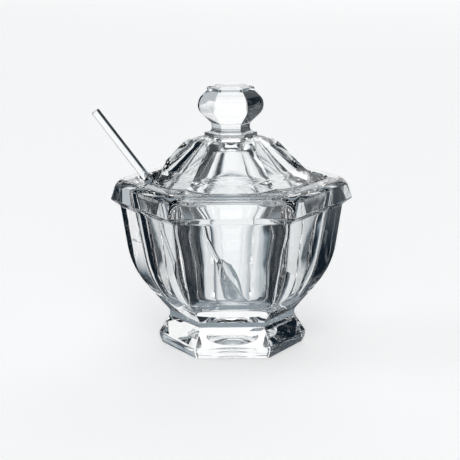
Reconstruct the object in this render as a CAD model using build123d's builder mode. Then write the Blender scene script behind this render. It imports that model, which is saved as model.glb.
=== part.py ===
from build123d import *

import os
from math import cos, radians, sin, sqrt, tan

# A cut crystal jam pot: a hexagonal pot on a hexagonal foot, a lid that lifts off, and a spoon that
# stands in the pot and leans out through a notch in one corner of the lid.
# Sizes are in millimetres. Z is up, the origin is the middle of the foot's underside, two corners of the
# hexagon lie on the X axis and the spoon leans towards -X. A size called corner is measured from the axis
# to a corner of the hexagon, and a size called rise is the height gained since the point before.

# Foot
foot_bottom_corner = 36.4
foot_bevel_corner = 37.9
foot_bevel_rise = 3.2
foot_bevel_round = 4.0
foot_corner = 38.4
foot_edge_rise = 2.7
foot_edge_round = 2.4
foot_top_corner = 33.4
foot_slope_rise = 7.6
foot_ridge_round = 1.0
dish_radius = 14.0
dish_depth = 2.0

# Neck between foot and body
neck_corner = 32.4
neck_waist_rise = 2.0
neck_waist_round = 3.0
neck_top_corner = 32.6
neck_top_rise = 2.3

# Body, straight up to the belly and nearly upright above it
belly_corner = 52.0
belly_rise = 22.2
belly_round = 46.0
body_top_corner = 57.1
body_top_rise = 32.8

# Collar round the mouth, with a seat for the lid sunk into its top
cove_round = 1.6
collar_corner = 62.0
collar_underside_rise = 3.6
collar_height = 10.9
collar_draft = 1.7
collar_round = 6.4
seat_depth = 5.3
seat_corner = 49.4
seat_draft = 0.4
lip_bevel = 1.7
lip_round = 2.0

# Hollow of the pot: a hexagon with widely rounded corners, measured from the axis to its flat sides
floor_height = 27.0
floor_round = 10.0
floor_flat = 27.0
low_wall_flat = 30.9
low_wall_rise = 13.0
middle_wall_flat = 33.6
middle_wall_rise = 10.0
high_wall_flat = 36.4
high_wall_rise = 11.0
top_wall_flat = 38.0
top_wall_rise = 11.0
mouth_flat = 39.2
hollow_corner_round = 0.5  # of the distance to the flat sides

# Lid
lid_gap = 1.1
lid_edge_height = 5.4
lid_edge_round = 1.0
valley_corner = 39.4
valley_rise = 1.6
valley_round = 10.0
shoulder_corner = 22.2
shoulder_rise = 16.8
shoulder_round = 7.0
dome_land = 4.4
dome_lip_rise = 1.2
dome_low_radius = 29.5
dome_low_rise = 3.6
dome_low_round = 8.0
dome_top_radius = 12.5
dome_top_rise = 15.7
dome_top_round = 9.0

# Knob, from the ring at its foot to the flat on its top
ring_corner = 13.5
ring_foot_rise = 3.6
ring_height = 1.5
waist_corner = 9.7
waist_foot_rise = 0.7
waist_foot_round = 2.6
barrel_foot_corner = 10.0
waist_rise = 4.0
barrel_corner = 16.8
barrel_low_rise = 6.6
barrel_high_rise = 5.4
barrel_round = 6.5
band_corner = 12.1
band_foot_rise = 4.7
band_height = 1.6
top_corner = 10.6
top_bevel_rise = 0.7

# Notch in the lid's corner, where the spoon comes out
notch_width = 12.6
notch_clearance = 3.0

# Spoon: a round rod, bent a little where it runs into the bowl
rod_diameter = 4.4
rod_length = 98.8
rod_chamfer = 0.3
spoon_lean = 36.45
spoon_clearance = 0.3
bowl_bend = 21.0
bowl_length = 26.0
bowl_width = 19.0
bowl_depth = 7.2
bowl_wall = 2.0
rod_sink = 1.5

# How far a cutting shape runs past the face that it opens
margin = 1.0


def flat(corner):
    """Distance from the axis to the middle of a side, in a hexagon of this corner size."""
    return corner * cos(radians(30))


def climb(*steps):
    """Outline points from steps of (distance from the axis, rise), closed on the axis at both ends."""
    points, height = [(0, 0)], 0
    for distance, rise in steps:
        height += rise
        points.append((distance, height))
    return [*points, (0, height)]


def faceted(outline, rounds, reach):
    """A hexagonal piece: one outline run across each of its three pairs of sides, and what they share."""
    with BuildPart() as piece:
        for turn in (0, 60, 120):
            across, along = Vector(0, 1, 0).rotate(Axis.Z, turn), Vector(1, 0, 0).rotate(Axis.Z, turn)
            with BuildSketch(Plane((0, 0, 0), x_dir=across, z_dir=along)):
                with BuildLine():
                    FilletPolyline(outline, radius=rounds)
                    mirror(about=Plane.YZ)
                make_face()
            extrude(amount=reach, both=True, mode=Mode.INTERSECT if turn else Mode.ADD)
    return piece.part


# Outside of the pot, from the underside of the foot to the top of the collar
pot_outline = climb(
    (flat(foot_bottom_corner), 0),
    (flat(foot_bevel_corner), foot_bevel_rise),
    (flat(foot_corner), foot_edge_rise),
    (flat(foot_top_corner), foot_slope_rise),
    (flat(neck_corner), neck_waist_rise),
    (flat(neck_top_corner), neck_top_rise),
    (flat(belly_corner), belly_rise),
    (flat(body_top_corner), body_top_rise),
    (flat(collar_corner), collar_underside_rise),
    (flat(collar_corner - collar_draft), collar_height),
)
pot_rounds = [0, foot_bevel_round, foot_edge_round, 0, neck_waist_round, 0, belly_round, cove_round, 0, collar_round]
rim_height = pot_outline[-1][1]
seat_height = rim_height - seat_depth

# Seat for the lid: a hexagonal recess, opened out at the lip
seat_wall = flat(seat_corner)
lip_wall = seat_wall + seat_draft
seat = faceted(
    [
        (0, seat_height),
        (seat_wall, seat_height),
        (lip_wall, rim_height - lip_bevel),
        (lip_wall + lip_bevel, rim_height),
        (lip_wall + lip_bevel, rim_height + margin),
        (0, rim_height + margin),
    ],
    [0, lip_round, 0, 0],
    collar_corner,
)

# Hollow of the pot: a smooth run of rounded hexagons from the floor to the mouth
low_wall_height = floor_height + low_wall_rise
middle_wall_height = low_wall_height + middle_wall_rise
high_wall_height = middle_wall_height + high_wall_rise
hollow_sections = [
    (floor_flat, floor_height),
    (low_wall_flat, low_wall_height),
    (middle_wall_flat, middle_wall_height),
    (high_wall_flat, high_wall_height),
    (top_wall_flat, high_wall_height + top_wall_rise),
    (mouth_flat, seat_height),
]
with BuildPart() as hollow:
    for wall, height in hollow_sections:
        with BuildSketch(Plane.XY.offset(height)):
            side_shape = RegularPolygon(wall, 6, major_radius=False, rotation=0)
            fillet(side_shape.vertices(), wall * hollow_corner_round)
    loft()
    fillet(hollow.edges().group_by(Axis.Z)[0], floor_round)
    extrude(hollow.faces().sort_by(Axis.Z)[-1], amount=margin)

# Shallow dish ground into the underside
dish_curve = (dish_radius**2 + dish_depth**2) / (2 * dish_depth)
foot_height = foot_bevel_rise + foot_edge_rise + foot_slope_rise

with BuildPart() as pot:
    add(faceted(pot_outline, pot_rounds, collar_corner))
    foot_ridges = pot.edges().filter_by_position(Axis.Z, 0, foot_height).filter_by(
        lambda edge: edge.bounding_box().size.Z > foot_edge_rise / 4
    )
    fillet(foot_ridges, foot_ridge_round)
    add(seat, mode=Mode.SUBTRACT)
    add(hollow.part, mode=Mode.SUBTRACT)
    with Locations((0, 0, dish_depth - dish_curve)):
        Sphere(dish_curve, mode=Mode.SUBTRACT)

# The rod leans in a corner of the mouth, and this is how far from the axis it crosses the seat
lean = radians(spoon_lean)
rod_radius = rod_diameter / 2
mouth_round = mouth_flat * hollow_corner_round
mouth_corner = (mouth_flat - mouth_round) / cos(radians(30)) + mouth_round
rod_at_seat = mouth_corner - (rod_radius + spoon_clearance) / cos(lean)

# Lid: edge, valley, shoulder and knob are one run of crystal, turned out below
lid_corner = seat_corner - lid_gap
lid_outline = climb(
    (flat(lid_corner), 0),
    (flat(lid_corner), lid_edge_height),
    (flat(valley_corner), valley_rise),
    (flat(shoulder_corner), shoulder_rise),
    (flat(ring_corner), ring_foot_rise),
    (flat(ring_corner), ring_height),
    (flat(waist_corner), waist_foot_rise),
    (flat(barrel_foot_corner), waist_rise),
    (flat(barrel_corner), barrel_low_rise),
    (flat(barrel_corner), barrel_high_rise),
    (flat(band_corner), band_foot_rise),
    (flat(band_corner), band_height),
    (flat(top_corner), top_bevel_rise),
)
lid_rounds = [0, lid_edge_round, valley_round, shoulder_round, 0, 0, waist_foot_round, 0]
lid_rounds += [barrel_round, barrel_round, 0, 0, 0]
dome_mouth_radius = flat(lid_corner) - dome_land
dome_outline = climb(
    (dome_mouth_radius, 0),
    (dome_mouth_radius, dome_lip_rise),
    (dome_low_radius, dome_low_rise),
    (dome_top_radius, dome_top_rise),
)
notch_end = rod_at_seat - rod_radius / cos(lean) - notch_clearance
notch_middle = notch_end + notch_width / 2

with BuildPart() as lid:
    add(faceted(lid_outline, lid_rounds, lid_corner))
    with BuildSketch(Plane.XZ):
        with BuildLine():
            FilletPolyline(dome_outline, radius=[0, 0, dome_low_round, dome_top_round])
            Line(dome_outline[-1], dome_outline[0])
        make_face()
    revolve(axis=Axis.Z, mode=Mode.SUBTRACT)
    with BuildSketch(Plane.XY):
        with Locations((-notch_middle, 0)):
            Circle(notch_width / 2)
            Rectangle(lid_corner, notch_width, align=(Align.MAX, Align.CENTER))
    extrude(amount=shoulder_rise, mode=Mode.SUBTRACT)

# Spoon: its bowl rests on the floor of the pot and its rod on the edge of the mouth
tilt = radians(spoon_lean + bowl_bend)
half_length = bowl_length / 2
half_width = bowl_width / 2
rod_way = Vector(-sin(lean), 0, cos(lean))
tip_way = Vector(sin(tilt), 0, -cos(tilt))
open_way = Vector(cos(tilt), 0, sin(tilt))
bowl_reach_down = sqrt((half_length * cos(tilt)) ** 2 + (bowl_depth * sin(tilt)) ** 2)
bowl_height = floor_height + spoon_clearance + bowl_reach_down
rod_foot_height = bowl_height + half_length * cos(tilt) - rod_sink * sin(tilt)
rod_foot = Vector(-rod_at_seat + (seat_height - rod_foot_height) * tan(lean), 0, rod_foot_height)
bowl_centre = rod_foot + tip_way * half_length + open_way * rod_sink

# The bowl is the lower half of an ellipsoid, made round its own middle with its tip towards +X
with BuildPart() as bowl_space:
    Sphere(1)
    scale(by=(half_length - bowl_wall, half_width - bowl_wall, bowl_depth - bowl_wall))
with BuildPart() as bowl:
    Sphere(1)
    scale(by=(half_length, half_width, bowl_depth))
    split(bisect_by=Plane.XY, keep=Keep.BOTTOM)

bowl_place = Plane(origin=bowl_centre, x_dir=tip_way, z_dir=open_way).location
with BuildPart() as spoon:
    with BuildSketch(Plane(origin=rod_foot, z_dir=rod_way)):
        Circle(rod_radius)
    extrude(amount=rod_length)
    chamfer(spoon.edges().sort_by(Axis(rod_foot, rod_way))[-1], rod_chamfer)
    with Locations(rod_foot):
        Sphere(rod_radius)
    add(bowl.part.moved(bowl_place))
    add(bowl_space.part.moved(bowl_place), mode=Mode.SUBTRACT)

lid_seated = lid.part.moved(Location((0, 0, seat_height)))

os.makedirs("parts", exist_ok=True)
pot.part.label = "pot"
lid_seated.label = "lid"
spoon.part.label = "spoon"
export_step(pot.part, "parts/pot.step")
export_step(lid_seated, "parts/lid.step")
export_step(spoon.part, "parts/spoon.step")
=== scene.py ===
import bpy
import numpy as np
from mathutils import Matrix


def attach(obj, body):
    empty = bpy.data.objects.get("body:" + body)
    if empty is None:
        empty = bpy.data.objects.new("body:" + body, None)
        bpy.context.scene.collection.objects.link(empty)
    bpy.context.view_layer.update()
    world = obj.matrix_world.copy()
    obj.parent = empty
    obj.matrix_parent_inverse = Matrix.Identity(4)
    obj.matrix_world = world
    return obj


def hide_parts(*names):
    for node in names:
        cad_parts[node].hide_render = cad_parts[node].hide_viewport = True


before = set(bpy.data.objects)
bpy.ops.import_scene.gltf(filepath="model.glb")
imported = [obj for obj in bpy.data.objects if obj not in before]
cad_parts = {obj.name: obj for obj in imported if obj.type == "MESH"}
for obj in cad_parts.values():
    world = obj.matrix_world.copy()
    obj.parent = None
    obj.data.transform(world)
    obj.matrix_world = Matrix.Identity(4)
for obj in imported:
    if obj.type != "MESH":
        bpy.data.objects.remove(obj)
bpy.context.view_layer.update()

mm = 0.001
hair = 0.01  # mm: a small margin, and how far from the axis an outline ends
cos30 = np.cos(np.radians(30))
scene = bpy.context.scene


# One turn round a hexagon with its corners on the X axis. base is a point on a hexagon whose sides lie at a
# distance of 1, and way is the direction that the surface faces there. A hexagon with sides at distance a and
# corners rounded to r is then (a - r) * base + r * way, and r close to a makes it a circle.
arcSteps, flatSteps = 20, 4
arcWay = np.radians(np.linspace(-30, 30, arcSteps + 1))
flatShare = np.arange(1, flatSteps) / flatSteps
baseParts, wayParts = [], []
for corner in np.radians(np.arange(0, 360, 60)):
    here = np.array([np.cos(corner), np.sin(corner)]) / cos30
    there = np.array([np.cos(corner + np.pi / 3), np.sin(corner + np.pi / 3)]) / cos30
    flatWay = np.array([np.cos(corner + np.pi / 6), np.sin(corner + np.pi / 6)])
    baseParts += [np.tile(here, (arcSteps + 1, 1)), here + np.outer(flatShare, there - here)]
    wayParts += [np.column_stack([np.cos(corner + arcWay), np.sin(corner + arcWay)])]
    wayParts += [np.tile(flatWay, (flatSteps - 1, 1))]
base, way = np.vstack(baseParts), np.vstack(wayParts)
leaning = (base * way).sum(1)


# Rises from 0 to 1 as three times the square less twice the cube, level at both ends.
def smooth(share):
    share = np.clip(share, 0, 1)
    return share * share * (3 - 2 * share)


# Stations along a polyline whose corners give way to arcs: a corner that turns by t starts its arc
# radius * tan(t / 2) before the corner, and each station keeps the direction of travel.
def roundedRun(points, radii, degreesPerStep=4.0):
    points = np.array(points, float)
    places, ways = [points[0]], [points[1] - points[0]]
    for before, corner, after, radius in zip(points, points[1:], points[2:], radii):
        go, leave = corner - before, after - corner
        goLong, leaveLong = np.hypot(*go), np.hypot(*leave)
        go, leave = go / goLong, leave / leaveLong
        turn = np.arctan2(go[0] * leave[1] - go[1] * leave[0], go @ leave)
        cut = min(radius * np.tan(abs(turn) / 2), 0.49 * goLong, 0.49 * leaveLong)  # under half of each side
        radius = cut / np.tan(abs(turn) / 2)
        side = np.array([-go[1], go[0]]) * np.sign(turn)
        centre = corner - go * cut + side * radius
        steps = max(2, int(np.ceil(np.degrees(abs(turn)) / degreesPerStep)))
        angle = np.linspace(0, abs(turn), steps + 1)[:, None]
        places += list(centre + radius * (np.sin(angle) * go - np.cos(angle) * side))
        ways += list(np.cos(angle) * go + np.sin(angle) * side)
    places.append(points[-1])
    ways.append(points[-1] - points[-2])
    places, ways = np.array(places), np.array(ways)
    return places, ways / np.hypot(*ways.T)[:, None]


# Rings of points become quads between neighbours, and both ends close in a fan round an end point.
def skin(name, rings, ends, normals=None, endNormals=None):
    count, around = rings.shape[:2]
    corners = np.arange(count * around).reshape(count, around)
    left, right = corners, np.roll(corners, -1, 1)
    quads = np.stack([left[:-1], right[:-1], right[1:], left[1:]], 2).reshape(-1, 4)
    start, end = np.full(around, count * around), np.full(around, count * around + 1)
    fans = np.vstack([np.stack([start, right[0], left[0]], 1), np.stack([end, left[-1], right[-1]], 1)])
    points = np.vstack([rings.reshape(-1, 3), ends]) * mm
    mesh = bpy.data.meshes.new(name)
    mesh.from_pydata(points.tolist(), [], quads.tolist() + fans.tolist())
    mesh.polygons.foreach_set("use_smooth", np.ones(len(mesh.polygons), bool))
    if normals is not None:
        facing = np.vstack([normals.reshape(-1, 3), endNormals])
        facing /= np.linalg.norm(facing, axis=1)[:, None]
        mesh.normals_split_custom_set_from_vertices(facing.tolist())
    piece = bpy.data.objects.new(name, mesh)
    scene.collection.objects.link(piece)
    return piece


# A closed crystal body: every station of the outline (distance of the sides, height, corner rounding)
# becomes one ring. The normal is way * (rise along the outline) - up * (growth of the ring along way).
def turnedHexagon(name, places, ways, rounding):
    distance, height = places.T
    along = np.r_[0, np.cumsum(np.hypot(*np.diff(places, axis=0).T) + 1e-9)]
    roundingGrowth = np.gradient(rounding, along)
    flatRings = (distance - rounding)[:, None, None] * base + rounding[:, None, None] * way
    levels = np.broadcast_to(height[:, None, None], flatRings.shape[:2] + (1,))
    growth = (ways[:, 0] - roundingGrowth)[:, None] * leaning + roundingGrowth[:, None]
    flow = np.broadcast_to(way, flatRings.shape) * ways[:, 1][:, None, None]
    normals = np.concatenate([flow, -growth[:, :, None]], 2)
    ends = np.array([[0, 0, height[0]], [0, 0, height[-1]]])
    endNormals = np.array([[0, 0, -1.0], [0, 0, 1.0]]) * np.sign([ways[0, 0], -ways[-1, 0]])[:, None]
    return skin(name, np.concatenate([flatRings, levels], 2), ends, normals, endNormals)


# Turns steps of an outline (distance of the corners, rise) into points (distance of the sides, height).
def climb(start, steps):
    points = [start]
    for distance, rise in steps:
        points.append((distance * cos30, points[-1][1] + rise))
    return points


polishing = {
    "fineTimes": 3.7,  # how many times smaller the fine waves are than the broad ones
    "fineShare": 0.2,
    "detail": 1.0,
}


# Height of faint waves left by polishing: two sizes of soft noise added up, and a tint that follows them.
def makePolish(v):
    group = bpy.data.node_groups.new("polishWaves", "ShaderNodeTree")
    face = group.interface
    face.new_socket("Wave Size", in_out="INPUT", socket_type="NodeSocketFloat")
    face.new_socket("Pale", in_out="INPUT", socket_type="NodeSocketColor")
    face.new_socket("Deep", in_out="INPUT", socket_type="NodeSocketColor")
    face.new_socket("Height", in_out="OUTPUT", socket_type="NodeSocketFloat")
    face.new_socket("Tint", in_out="OUTPUT", socket_type="NodeSocketColor")
    nodes, links = group.nodes, group.links
    entry, result = nodes.new("NodeGroupInput"), nodes.new("NodeGroupOutput")
    place = nodes.new("ShaderNodeTexCoord")
    broad, fine = nodes.new("ShaderNodeTexNoise"), nodes.new("ShaderNodeTexNoise")
    finer = nodes.new("ShaderNodeMath")
    finer.operation = "MULTIPLY"
    finer.inputs[1].default_value = v["fineTimes"]
    blend = nodes.new("ShaderNodeMix")
    blend.inputs["Factor"].default_value = v["fineShare"]
    paint = nodes.new("ShaderNodeMix")
    paint.data_type = "RGBA"  # its colours are inputs 6 and 7, and their mixture output 2
    links.new(entry.outputs["Wave Size"], broad.inputs["Scale"])
    links.new(entry.outputs["Wave Size"], finer.inputs[0])
    links.new(finer.outputs[0], fine.inputs["Scale"])
    for noise in (broad, fine):
        noise.inputs["Detail"].default_value = v["detail"]
        links.new(place.outputs["Object"], noise.inputs["Vector"])
    links.new(broad.outputs["Fac"], blend.inputs["A"])
    links.new(fine.outputs["Fac"], blend.inputs["B"])
    links.new(blend.outputs["Result"], result.inputs["Height"])
    links.new(broad.outputs["Fac"], paint.inputs["Factor"])
    links.new(entry.outputs["Pale"], paint.inputs[6])
    links.new(entry.outputs["Deep"], paint.inputs[7])
    links.new(paint.outputs[2], result.inputs["Tint"])
    return group


polishWaves = makePolish(polishing)


# Clear crystal that bends light by look["bend"], with the polishing waves in its tint and as a faint bump.
def makeCrystal(name, look):
    material = bpy.data.materials.new(name)
    material.use_nodes = True
    nodes, links = material.node_tree.nodes, material.node_tree.links
    shader = nodes["Principled BSDF"]
    shader.inputs["Transmission Weight"].default_value = 1.0
    shader.inputs["IOR"].default_value = look["bend"]
    shader.inputs["Roughness"].default_value = look["roughness"]
    polish = nodes.new("ShaderNodeGroup")
    polish.node_tree = polishWaves
    polish.inputs["Wave Size"].default_value = look["waveSize"]
    polish.inputs["Pale"].default_value = (*look["pale"], 1)
    polish.inputs["Deep"].default_value = (*look["deep"], 1)
    bump = nodes.new("ShaderNodeBump")
    bump.inputs["Strength"].default_value = look["waveStrength"]
    bump.inputs["Distance"].default_value = look["waveDepth"]
    links.new(polish.outputs["Height"], bump.inputs["Height"])
    links.new(polish.outputs["Tint"], shader.inputs["Base Color"])
    links.new(bump.outputs["Normal"], shader.inputs["Normal"])
    return material


# The pot, in mm. Its outline goes up in steps: distance of the hexagon's corners from the axis, and rise.
pot = {
    "dish": (14.0, 2.0),  # dish ground into the underside: radius, depth
    "foot": [(36.4, 0), (37.9, 3.2), (38.4, 2.7), (33.4, 7.6)],
    "neck": [(32.4, 2.0), (32.6, 2.3)],
    "body": [(52.0, 22.2), (57.1, 32.8)],
    "collar": [(62.0, 3.6), (60.6, 10.9)],
    "rounds": [0.35, 4.0, 2.4, 0.4, 3.0, 0.4, 46.0, 1.6, 0.5, 4.6],  # radius at each of those points
    "cutEdge": 0.45,  # rounding of the cut corners
    "footEdge": (1.0, 13.0),  # the same on the foot, and how high that reaches
    "crest": (78.5, 13.0),  # height where the collar's corners begin to round over, and how far they get
    "seat": (49.4, 5.3, 0.4, 1.7),  # corner, depth, draft, bevel of the lip
    "seatRounds": [0.6, 2.0, 0.3],  # at the top of the lip's bevel, at its foot, and down in the seat
    "floor": (27.0, 10.0, 13.5),  # height, rounding up into the walls, half of the distance to the walls
    "wall": (27.0, 0.3212, -0.00182),  # distance of the walls over the floor: start, slope, curve
    # rounding of the hollow's corners as a share of the distance to its walls: at the mouth, lower down, and
    # the depth over which it grows
    "cornerShare": (0.5, 0.85, 16.0),
    "roundShare": 0.985,  # rounding that makes a hexagon as good as a circle
    "stations": (16, 40, 24, 400),  # on the dish, the wall and the arc below it, and to find where they meet
    "look": {
        "bend": 1.545,
        "roughness": 0.0,
        "waveSize": 55.0,
        "waveStrength": 0.10,
        "waveDepth": 0.0012,
        "pale": (0.995, 1.0, 1.0),
        "deep": (0.965, 0.98, 0.985),
    },
}


# The outside is a rounded run over the outline's points. The hollow's wall is a parabola of the height over
# the floor, start + slope * height + curve * height squared, with an arc that touches both floor and wall.
def makePot(v):
    dishStations, wallStations, arcStations, fineStations = v["stations"]
    dishRadius, dishDepth = v["dish"]
    dishCurve = (dishRadius**2 + dishDepth**2) / (2 * dishDepth)
    swing = np.linspace(0, np.arcsin(dishRadius / dishCurve), dishStations)
    dish = np.column_stack([dishCurve * np.sin(swing), dishDepth - dishCurve * (1 - np.cos(swing))])
    dish[0, 0] = hair
    dishWays = np.column_stack([np.cos(swing), -np.sin(swing)])
    outer = climb((v["foot"][0][0] * cos30, 0.0), v["foot"][1:] + v["neck"] + v["body"] + v["collar"])
    rim = outer[-1][1]
    seatWall, depth, draft, lip = v["seat"]
    seatWall *= cos30
    seatHeight = rim - depth
    lipTop = seatWall + draft + lip
    floor, floorRound, floorCore = v["floor"]
    start, slope, curve = v["wall"]
    wall = np.polynomial.Polynomial([start, slope, curve])
    mouth = wall(seatHeight - floor)
    shell = [(dishRadius, 0.0), *outer, (lipTop, rim), (seatWall + draft, rim - lip)]
    shell += [(seatWall, seatHeight), (mouth, seatHeight)]
    shellPlaces, shellWays = roundedRun(shell, v["rounds"] + v["seatRounds"])
    # the wall down to where the arc touches it, the arc, and the flat floor in to the axis
    lean = wall.deriv()
    heights = np.linspace(0, seatHeight - floor, fineStations)
    across = np.sqrt(1 + lean(heights) ** 2)
    touch = np.interp(0, heights + floorRound * lean(heights) / across - floorRound, heights)
    wallHeights = np.linspace(seatHeight - floor, touch, wallStations)[1:]
    wallPlaces = np.column_stack([wall(wallHeights), wallHeights + floor])
    wallWays = np.column_stack([-lean(wallHeights), -np.ones(len(wallHeights))])
    wallWays /= np.linalg.norm(wallWays, axis=1)[:, None]
    touchAngle = np.arctan(lean(touch))
    centre = wall(touch) - floorRound * np.cos(touchAngle)
    bow = np.linspace(-touchAngle, -np.pi / 2, arcStations)[1:]
    arcPlaces = np.column_stack([centre + floorRound * np.cos(bow), floor + floorRound * (1 + np.sin(bow))])
    arcWays = np.column_stack([np.sin(bow), -np.cos(bow)])
    flatPlaces = np.array([[centre / 2, floor], [hair, floor]])
    flatWays = np.array([[-1.0, 0], [-1.0, 0]])
    underside, outside = len(dish), len(dish) + len(shellPlaces)
    places = np.vstack([dish, shellPlaces, wallPlaces, arcPlaces, flatPlaces])
    ways = np.vstack([dishWays, shellWays, wallWays, arcWays, flatWays])
    # corner rounding: cut corners, the crest that rounds over, the seat, the round dish, and the hollow
    distance, height = places.T
    footEdge, footTop = v["footEdge"]
    rounding = np.where(height < footTop, footEdge, v["cutEdge"])
    crestFoot, crestRound = v["crest"]
    rounding = rounding + crestRound * smooth((height - crestFoot) / (rim - crestFoot))
    inSeat = (np.arange(len(places)) < outside) & (distance < lipTop - hair) & (height > seatHeight - hair)
    seatRounding = v["cutEdge"] + crestRound * smooth((height - seatHeight) / depth)
    rounding = np.where(inSeat, seatRounding, rounding)
    rounding[:underside] = distance[:underside] * v["roundShare"]
    mouthShare, lowShare, growth = v["cornerShare"]
    share = mouthShare + (lowShare - mouthShare) * smooth((seatHeight - height) / growth)
    arcRounding = distance - floorCore * (1 - lowShare) / (1 - mouthShare)
    hollowRounding = np.where(height < floor + touch, arcRounding, distance * share)
    hollowRounding = np.where(distance < centre, distance * (centre - floorCore) / centre, hollowRounding)
    rounding[outside:] = hollowRounding[outside:]
    return turnedHexagon("crystalPot", places, ways, rounding)


potPiece = makePot(pot)
potPiece.data.materials.append(makeCrystal("potCrystal", pot["look"]))
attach(potPiece, "pot")
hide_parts("pot")
print("pot made")


# The lid, in mm, in the same steps. The dome's steps start at its mouth: distance of its sides, and rise.
lid = {
    "seatHeight": 82.0,
    "edge": (48.3, 4.2),
    "dish": [(38.5, 4.8), (23.2, 16.0)],
    "knob": [(13.5, 2.4), (13.5, 1.5), (9.7, 0.7), (10.0, 4.0), (16.8, 6.6), (16.8, 5.4), (12.1, 4.7)],
    "knobTop": [(12.1, 1.6), (10.6, 0.7)],
    "rounds": [1.0, 16.0, 9.0, 0.4, 0.4, 2.6, 1.0, 6.5, 6.5, 0.3, 0.3, 0.3, 0.3],
    "cutEdge": 0.4,
    "land": 4.4,  # width of the flat ring that lies on the seat
    "domeLip": 1.2,  # height of the dome's straight wall at its mouth
    "dome": [(29.5, 3.6), (12.5, 15.7)],
    "domeRounds": [9.0, 8.0, 0.8, 0.4, 0.5],
    "roundShare": 0.985,
    "notch": (12.6, 33.389),  # width, distance of its end from the axis
    "cutter": (60.0, 75.0, 110.0, 25),  # its reach from the axis, lower and upper end, stations on its arc
    "sharpTurn": 35.0,  # degrees between two faces that keep a sharp edge
    "look": {
        "bend": 1.545,
        "roughness": 0.0,
        "waveSize": 70.0,
        "waveStrength": 0.10,
        "waveDepth": 0.001,
        "pale": (0.995, 1.0, 1.0),
        "deep": (0.965, 0.98, 0.985),
    },
}


# One run from the top of the dome inside, out to the edge, and up over the shoulder and the knob.
def makeLid(v):
    corner, edge = v["edge"]
    low = v["seatHeight"]
    outer = climb((corner * cos30, low), [(corner, edge)] + v["dish"] + v["knob"] + v["knobTop"])
    mouth = corner * cos30 - v["land"]
    dome = [(mouth, low), (mouth, low + v["domeLip"])]
    for distance, rise in v["dome"]:
        dome.append((distance, dome[-1][1] + rise))
    points = [(hair, dome[-1][1]), *reversed(dome), *outer, (hair, outer[-1][1])]
    places, ways = roundedRun(points, v["domeRounds"] + v["rounds"])
    inside = np.arange(len(places)) < np.argmax(places[:, 0] > mouth + v["land"] / 2)
    asCircle = places[:, 0] * v["roundShare"]
    rounding = np.where(inside, asCircle, v["cutEdge"])
    return turnedHexagon("crystalLid", places, ways, np.minimum(rounding, asCircle))


# The notch is cut by a slot: half a circle at its inner end and straight sides out past the edge.
def cutNotch(piece, v):
    width, end = v["notch"]
    reach, low, high, arcStations = v["cutter"]
    turn = np.linspace(-np.pi / 2, np.pi / 2, arcStations)
    arc = np.column_stack([np.cos(turn), np.sin(turn)]) * width / 2 - [end + width / 2, 0]
    outline = np.vstack([[[-reach, -width / 2]], arc, [[-reach, width / 2]]])
    count = len(outline)
    points = np.vstack([np.column_stack([outline, np.full(count, z)]) for z in (low, high)]) * mm
    here = np.arange(count)
    after = (here + 1) % count
    sides = np.stack([here, after, after + count, here + count], 1).tolist()
    mesh = bpy.data.meshes.new("notchCutter")
    mesh.from_pydata(points.tolist(), [], [here[::-1].tolist(), (here + count).tolist(), *sides])
    cutter = bpy.data.objects.new("notchCutter", mesh)
    scene.collection.objects.link(cutter)
    cut = piece.modifiers.new("notch", "BOOLEAN")
    cut.operation, cut.object, cut.solver = "DIFFERENCE", cutter, "EXACT"
    bpy.context.view_layer.update()
    result = bpy.data.meshes.new_from_object(piece.evaluated_get(bpy.context.evaluated_depsgraph_get()))
    piece.modifiers.clear()
    piece.data = result
    bpy.data.objects.remove(cutter)
    result.polygons.foreach_set("use_smooth", np.ones(len(result.polygons), bool))
    result.set_sharp_from_angle(angle=np.radians(v["sharpTurn"]))
    weighted = piece.modifiers.new("flatNormals", "WEIGHTED_NORMAL")
    weighted.keep_sharp = True
    result.materials.clear()


lidPiece = makeLid(lid)
cutNotch(lidPiece, lid)
lidPiece.data.materials.append(makeCrystal("lidCrystal", lid["look"]))
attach(lidPiece, "lid")
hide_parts("lid")
print("lid made")


# The spoon, in mm and degrees.
spoon = {
    "bowlCentre": (1.971, 0.0, 36.56),  # middle of the bowl's rim
    "tipWay": (0.842922, 0.0, -0.538035),
    "openWay": (0.538035, 0.0, 0.842922),
    "bowl": (13.0, 9.2, 7.2),  # half length, half width, depth
    "cup": (11.2, 7.3, 6.2),  # the same of the hollow in it
    "cupPower": 0.7,
    "rim": 0.7,  # how far the rim bulges up
    "rod": 2.2,
    "rodSink": 1.5,  # how far the rod's middle lies below the rim
    "rodLength": 98.8,
    "rodFades": 9.0,  # how far into the bowl the rod still shows
    "sinkFades": (3.0, 8.0),  # how far before the bowl the rod begins to rise, and over what length
    "blendPower": 4,
    "bend": (21.0, 12.0),  # how much the rod turns at the bowl, and over what length
    "endRound": (0.5, 0.25),  # length of the rod's rounded end, and how much of its radius goes
    "stations": (60, 28, 70, 96),  # along the rod, the neck and the bowl, and round a ring
    "neck": (12.0, 0.4),  # the neck's stations: where they start before the bowl, and the gap at both ends
    "tip": (0.994, 0.002),  # how much of the half turn over the bowl has stations, and what is left at its end
    "lineStations": 2400,
    "look": {
        "bend": 1.52,
        "roughness": 0.0,
        "waveSize": 90.0,
        "waveStrength": 0.06,
        "waveDepth": 0.0008,
        "pale": (0.995, 1.0, 1.0),
        "deep": (0.965, 0.98, 0.985),
    },
}


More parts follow.
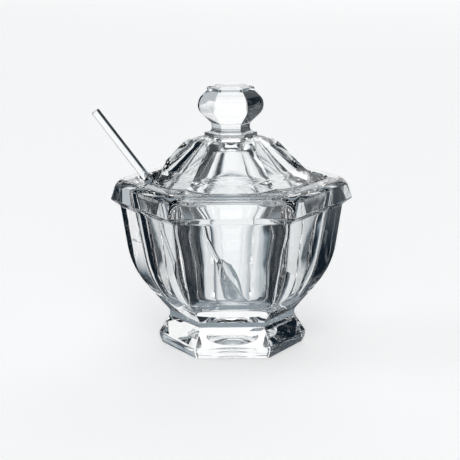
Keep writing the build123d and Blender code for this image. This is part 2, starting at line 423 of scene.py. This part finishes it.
# Rings from the end of the rod to the tip of the bowl. A ring is wide * cos(turn) across. Its lower half is
# level + (depth + level) * sin(turn), and its upper half level + (top - level) * sin(turn) less the cup,
# cupDeep * (1 - (along / cupLong)^2 - (across / cupWide)^2)^cupPower. Rod and bowl blend as
# (rod^power + bowl^power)^(1 / power). The rings follow a middle line that turns up by the bend.
def makeSpoon(v):
    halfLong, halfWide, deep = v["bowl"]
    cupLong, cupWide, cupDeep = v["cup"]
    radius, sink, bulge, power = v["rod"], v["rodSink"], v["rim"], v["blendPower"]
    endLong, endCut = v["endRound"]
    rodStations, neckStations, bowlStations, ringStations = v["stations"]
    neckStart, neckGap = v["neck"]
    tipShare, tipGap = v["tip"]
    rodEnd, tipEnd = -halfLong - v["rodLength"], halfLong - tipGap
    onRod = np.linspace(rodEnd, -halfLong - neckStart, rodStations)[1:]
    onNeck = np.linspace(-halfLong - neckStart + neckGap, -halfLong - neckGap, neckStations)
    onBowl = -halfLong * np.cos(np.linspace(0, np.pi * tipShare, bowlStations))
    along = np.r_[rodEnd, rodEnd + 0.3 * endLong, rodEnd + endLong, onRod, onNeck, onBowl]
    oval = np.sqrt(np.clip(1 - (along / halfLong) ** 2, 0, 1))
    leave = 1 - smooth((along + halfLong) / v["rodFades"])  # 1 on the rod, 0 where the bowl has taken over
    wide = ((radius * leave) ** power + (halfWide * oval) ** power) ** (1 / power)
    depth = (((radius + sink) * leave) ** power + (deep * oval) ** power) ** (1 / power)
    riseStart, riseLong = v["sinkFades"]
    level = -sink * (1 - smooth((along + halfLong + riseStart) / riseLong))
    top = leave * (radius - sink) + (1 - leave) * bulge * np.sqrt(oval)
    endShare = np.clip((along - rodEnd) / endLong, 0, 1)
    shrink = (1 - endCut * (1 - np.sqrt(1 - (1 - endShare) ** 2)))[:, None]
    turn = np.linspace(0, 2 * np.pi, ringStations, endpoint=False)
    lift = np.sin(turn)
    across = wide[:, None] * np.cos(turn)
    low = level[:, None] + (depth + level)[:, None] * np.minimum(lift, 0)
    inside = 1 - (along[:, None] / cupLong) ** 2 - (across / cupWide) ** 2
    cup = cupDeep * np.clip(inside, 0, 1) ** v["cupPower"]
    high = level[:, None] + (top - level)[:, None] * lift - cup
    up = np.where(lift > 0, high, low)
    across = across * shrink
    up = (up + sink) * shrink - sink
    # the middle line: the rod turns up by the bend, spread over the bend's length
    bendTurn, bendLong = np.radians(v["bend"][0]), v["bend"][1]
    fineAlong = np.linspace(tipEnd, rodEnd, v["lineStations"])
    heading = bendTurn * smooth((-halfLong + bendLong / 2 - fineAlong) / bendLong)
    step = fineAlong[0] - fineAlong[1]
    forth = halfLong - np.r_[0, np.cumsum(np.cos(heading[:-1]))] * step
    rise = np.r_[0, np.cumsum(np.sin(heading[:-1]))] * step
    lineForth, lineRise, lineTurn = [
        np.interp(along, fineAlong[::-1], line[::-1])[:, None] for line in (forth, rise, heading)
    ]
    forward = lineForth + np.sin(lineTurn) * up
    upward = lineRise + np.cos(lineTurn) * up
    centre, tipWay, openWay = np.array(v["bowlCentre"]), np.array(v["tipWay"]), np.array(v["openWay"])
    rings = centre + forward[..., None] * tipWay + upward[..., None] * openWay
    rings[..., 1] += across
    return skin("crystalSpoon", rings, rings[[0, -1]].mean(1))


spoonPiece = makeSpoon(spoon)
spoonPiece.data.materials.append(makeCrystal("spoonCrystal", spoon["look"]))
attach(spoonPiece, "spoon")
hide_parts("spoon")
print("spoon made")


# Floor, studio and backdrop, in metres and degrees.
stage = {
    "background": 0.905,
    "floorPaint": (0.885, 0.885, 0.885),
    "floorGlow": 0.46,  # white that the floor adds where the camera or the glass looks at it
    "floorRoughness": 0.5,
    "floorHalf": 3.0,
    "floorLevel": -0.0002,
    "dark": (0.004, 0.009, 0.015),
    "halfTone": (1.12, 1.0, 0.92),  # powers that turn half-lit places a little blue
    # soft-edged lit areas of the studio ball: azimuth from behind the pot towards the right and elevation,
    # each from and to, then strength and softness
    "studioRadius": 5.0,
    "studioStep": 1.5,
    "windows": [
        (-16, 44, -20, 50, 1.05, 4),
        (-105, -70, -10, 58, 0.9, 5),
        (160, 200, -10, 66, 2.2, 4),
        (-180, 180, 64, 95, 0.9, 4),
    ],
    # the same for a sheet just over the floor that only the glass sees, painted with shade and light: azimuth
    # and distance from the pot
    "paintedFloorRings": (0.002, 0.02, 4.4, 80),  # innermost, the next, the last, and how many from that one on
    "paintedFloorLevels": (-0.0001, -0.00015),  # of its face and its underside
    "paintedFloorStep": 3.0,
    "paintedFloorSoftTurn": 5.0,
    "paintedFloorLitAndShadedAreas": [
        # painted shade: a dim disc round the pot, standing in for the floor's shade near it
        (-180, 180, -1, 0.07, 0.30, 0.02),
        # painted light: lit floor behind the pot, behind it on the right, and in front; painted dark elsewhere
        (-24, 26, 0.09, 9, 0.9, 0.03),
        (20, 62, 0.2, 9, 0.6, 0.05),
        (158, 202, 0.09, 9, 0.6, 0.03),
    ],
}


# Glow of a place in a table of lit areas: each area in turn takes over from what lies below it, by a mask
# that rises smoothly over its soft edges in azimuth and in the second measure.
def litAreas(azimuth, measure, areas, softTurn=None):
    glow = np.zeros(azimuth.shape)
    for left, right, low, high, strength, soft in areas:
        mask = smooth((measure - low) / soft / 2 + 0.5) * (1 - smooth((measure - high) / soft / 2 + 0.5))
        reach = (right - left) / 2
        if reach < 180:
            away = np.abs((azimuth - (left + right) / 2 + 180) % 360 - 180)
            mask = mask * (1 - smooth((away - reach) / (softTurn or soft) / 2 + 0.5))
        glow = glow * (1 - mask) + strength * mask
    return glow


# Paints a stage mesh with light: white in its lit areas and the dark of the room elsewhere.
def lightUp(piece, glow, v):
    colours = np.ones((len(glow), 4))
    share = np.clip(glow, 0, 1)[:, None]
    over = np.maximum(glow, 1)[:, None]
    colours[:, :3] = over * share ** np.array(v["halfTone"]) + (1 - share) * np.array(v["dark"])
    layer = piece.data.attributes.new("glow", "FLOAT_COLOR", "POINT")
    layer.data.foreach_set("color", colours.ravel())
    paint = bpy.data.materials.new(piece.name)
    paint.use_nodes = True
    nodes, links = paint.node_tree.nodes, paint.node_tree.links
    nodes.clear()
    read, shine, out = [nodes.new("ShaderNode" + kind) for kind in ("Attribute", "Emission", "OutputMaterial")]
    read.attribute_name = "glow"
    links.new(read.outputs["Color"], shine.inputs["Color"])
    links.new(shine.outputs[0], out.inputs["Surface"])
    paint.cycles.emission_sampling = "NONE"
    piece.data.materials.append(paint)
    piece.visible_camera = False


# A ball of studio round the object, seen in the glass but not by the camera: radius times the direction
# (sin(turn) * cos(tilt), cos(turn) * cos(tilt), sin(tilt)).
def makeStudio(v):
    step = v["studioStep"]
    azimuth, elevation = np.meshgrid(np.arange(-180, 180, step), np.arange(step - 90, 90 - step / 2, step))
    turn, tilt = np.radians(azimuth), np.radians(elevation)
    points = np.stack([np.sin(turn) * np.cos(tilt), np.cos(turn) * np.cos(tilt), np.sin(tilt)], 2)
    ends = np.array([[0, 0, -1.0], [0, 0, 1.0]])
    ball = skin("studio", points * v["studioRadius"] / mm, ends * v["studioRadius"] / mm)
    glow = litAreas(azimuth, elevation, v["windows"])
    lightUp(ball, np.r_[glow.ravel(), glow[0].mean(), glow[-1].mean()], v)


# A flat round sheet just over the floor, painted with shade and light, which darkens the floor for the glass
# alone:
# rings at growing distances from the axis.
def makePaintedFloorLightAndShade(v):
    inner, second, last, count = v["paintedFloorRings"]
    face, underside = v["paintedFloorLevels"]
    distances = np.r_[inner, np.geomspace(second, last, count)]
    azimuth, distance = np.meshgrid(np.arange(-180, 180, v["paintedFloorStep"]), distances)
    turn = np.radians(azimuth)
    points = np.stack([np.sin(turn) * distance, np.cos(turn) * distance, np.full(turn.shape, face)], 2)
    ends = np.array([[0, 0, face], [0, 0, underside]])
    paintedFloorLightAndShade = skin("paintedFloorLightAndShade", points / mm, ends / mm)
    # paints the floor's shade and light as the glass alone sees them
    glow = litAreas(azimuth, distance, v["paintedFloorLitAndShadedAreas"], v["paintedFloorSoftTurn"])
    lightUp(paintedFloorLightAndShade, np.r_[glow.ravel(), glow[0].mean(), 0.0], v)
    paintedFloorLightAndShade.visible_diffuse = False
    paintedFloorLightAndShade.visible_shadow = False


# A pale flat square, lit by the studio, that glows a little more where the camera or the glass looks at it.
def makeFloor(v):
    half, level = v["floorHalf"], v["floorLevel"]
    corners = [(-half, -half, level), (half, -half, level), (half, half, level), (-half, half, level)]
    mesh = bpy.data.meshes.new("floor")
    mesh.from_pydata(corners, [], [(0, 1, 2, 3)])
    floor = bpy.data.objects.new("floor", mesh)
    scene.collection.objects.link(floor)
    paint = bpy.data.materials.new("floorPaint")
    paint.use_nodes = True
    nodes, links = paint.node_tree.nodes, paint.node_tree.links
    shader = nodes["Principled BSDF"]
    shader.inputs["Base Color"].default_value = (*v["floorPaint"], 1)
    shader.inputs["Roughness"].default_value = v["floorRoughness"]
    shader.inputs["Specular IOR Level"].default_value = 0.0
    shader.inputs["Emission Color"].default_value = (1, 1, 1, 1)
    path = nodes.new("ShaderNodeLightPath")
    glass, seen, lit = [nodes.new("ShaderNodeMath") for count in range(3)]
    glass.operation, seen.operation, lit.operation = "MAXIMUM", "MAXIMUM", "MULTIPLY"
    links.new(path.outputs["Is Glossy Ray"], glass.inputs[0])
    links.new(path.outputs["Is Transmission Ray"], glass.inputs[1])
    links.new(glass.outputs[0], seen.inputs[0])
    links.new(path.outputs["Is Camera Ray"], seen.inputs[1])
    links.new(seen.outputs[0], lit.inputs[0])
    lit.inputs[1].default_value = v["floorGlow"]
    links.new(lit.outputs[0], shader.inputs["Emission Strength"])
    mesh.materials.append(paint)


# One even white all round, which the camera sees past the end of the floor.
def makeWorld(v):
    world = bpy.data.worlds.new("backdrop")
    scene.world = world
    world.use_nodes = True
    world.node_tree.nodes["Background"].inputs[0].default_value = (*[v["background"]] * 3, 1)


# The photo's camera, in mm and degrees.
camera = {
    "aim": (-0.83, 0.0, 59.7),  # the point that the middle of the picture looks at
    "distance": 852.0,
    "elevation": 12.0,
    "roll": 0.44,
    "pixelsPerRadian": 1650.0,
    "pictureWidth": 460.0,
    "sensorWidth": 36.0,
    "clip": (0.01, 100.0),  # metres
}


# Looks along (0, cos(rise), -sin(rise)) at the aim, from distance away, turned by the roll.
def makeCamera(v):
    rise, roll = np.radians(v["elevation"]), np.radians(v["roll"])
    forward = np.array([0, np.cos(rise), -np.sin(rise)])
    upward = np.array([0, np.sin(rise), np.cos(rise)])
    across = np.array([1.0, 0, 0])
    turned = np.eye(4)
    turned[:3, 0] = across * np.cos(roll) - upward * np.sin(roll)
    turned[:3, 1] = upward * np.cos(roll) + across * np.sin(roll)
    turned[:3, 2] = -forward
    turned[:3, 3] = (np.array(v["aim"]) - forward * v["distance"]) * mm
    data = bpy.data.cameras.new("camera")
    data.sensor_width = v["sensorWidth"]
    data.lens = v["pixelsPerRadian"] * v["sensorWidth"] / v["pictureWidth"]
    data.clip_start, data.clip_end = v["clip"]
    holder = bpy.data.objects.new("camera", data)
    scene.collection.objects.link(holder)
    holder.matrix_world = Matrix(turned.tolist())
    scene.camera = holder


makeFloor(stage)
makeStudio(stage)
makePaintedFloorLightAndShade(stage)
makeWorld(stage)
makeCamera(camera)
print("stage made")

scene.view_settings.view_transform = "Standard"
scene.cycles.max_bounces = 24
scene.cycles.transmission_bounces = 24
scene.cycles.glossy_bounces = 8
scene.cycles.diffuse_bounces = 3

bpy.context.view_layer.update()
